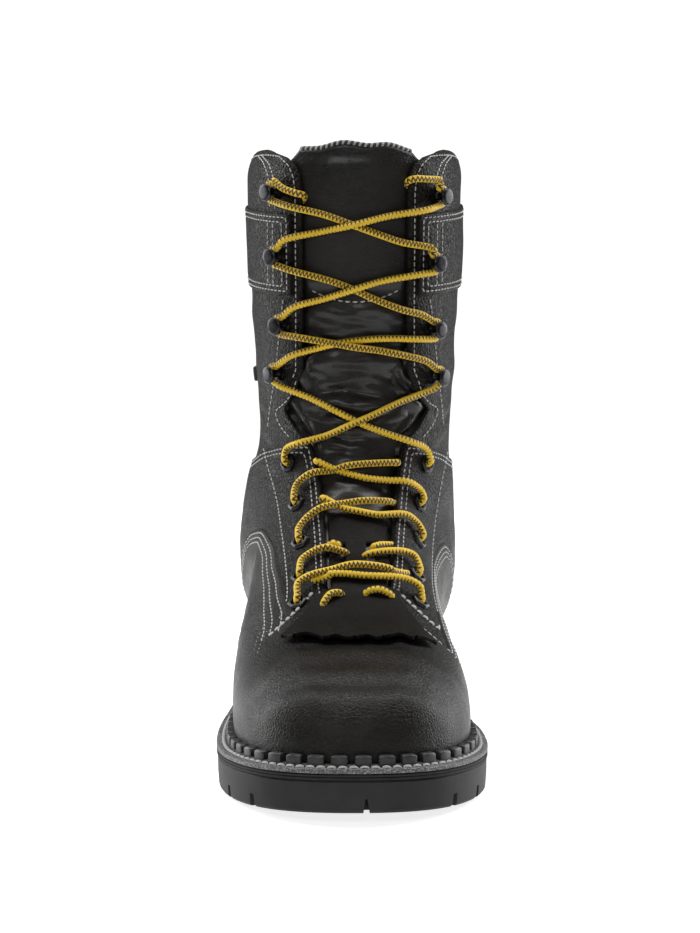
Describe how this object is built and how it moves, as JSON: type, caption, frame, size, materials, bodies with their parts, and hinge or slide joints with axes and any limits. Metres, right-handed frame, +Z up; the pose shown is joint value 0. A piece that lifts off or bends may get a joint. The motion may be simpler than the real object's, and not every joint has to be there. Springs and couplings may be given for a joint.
{
  "type": "logger boot",
  "caption": "Lace-up black leather logger boot with speed hooks, a fringed kiltie, a notched storm welt and a lugged heeled sole.",
  "frame": {"origin": "middle of the heel's tread, on the floor that the boot stands on", "axes": "+Z up, toe along -Y, medial side of this right boot along +X"},
  "size_m": [0.1188, 0.316, 0.2731],
  "materials": {
    "black_leather": "fine grain, soft shine",
    "grained_leather": "tumbled grain, soft shine",
    "black_rubber": "matte",
    "grey_midsole": "matte",
    "grey_welt": "speckled, matte",
    "footbed_fabric": "matte",
    "dark_metal": "dark nickel",
    "yellow_lace": "round braid with a dark zigzag"
  },
  "bodies": {
    "root": {"outsole": "black_rubber", "heel": "black_rubber", "midsole": "grey_midsole", "welt": "grey_welt", "insole": "footbed_fabric", "upper": "grained_leather", "vamp": "black_leather", "counter": "black_leather", "quarter_lateral": "grained_leather", "quarter_medial": "grained_leather", "collar_band": "grained_leather", "backstay": "black_leather", "side_tab": "black_leather", "tongue": "black_leather", "kiltie": "black_leather", "eyelet_lateral_1": "dark_metal", "eyelet_lateral_2": "dark_metal", "eyelet_lateral_3": "dark_metal", "eyelet_lateral_4": "dark_metal", "eyelet_lateral_5": "dark_metal", "eyelet_medial_1": "dark_metal", "eyelet_medial_2": "dark_metal", "eyelet_medial_3": "dark_metal", "eyelet_medial_4": "dark_metal", "eyelet_medial_5": "dark_metal", "hook_lateral_1": "dark_metal", "hook_lateral_2": "dark_metal", "hook_lateral_3": "dark_metal", "hook_lateral_4": "dark_metal", "hook_medial_1": "dark_metal", "hook_medial_2": "dark_metal", "hook_medial_3": "dark_metal", "hook_medial_4": "dark_metal", "lace_row_2": "yellow_lace", "lace_row_3_lateral": "yellow_lace", "lace_row_3_medial": "yellow_lace", "lace_row_4": "yellow_lace", "lace_row_5": "yellow_lace", "lace_row_6": "yellow_lace", "lace_row_7": "yellow_lace", "lace_row_8": "yellow_lace", "lace_row_9": "yellow_lace", "lace_bar_lateral": "yellow_lace", "lace_bar_medial": "yellow_lace", "lace_end_lateral": "yellow_lace", "lace_end_medial": "yellow_lace"}
  },
  "joints": []
}
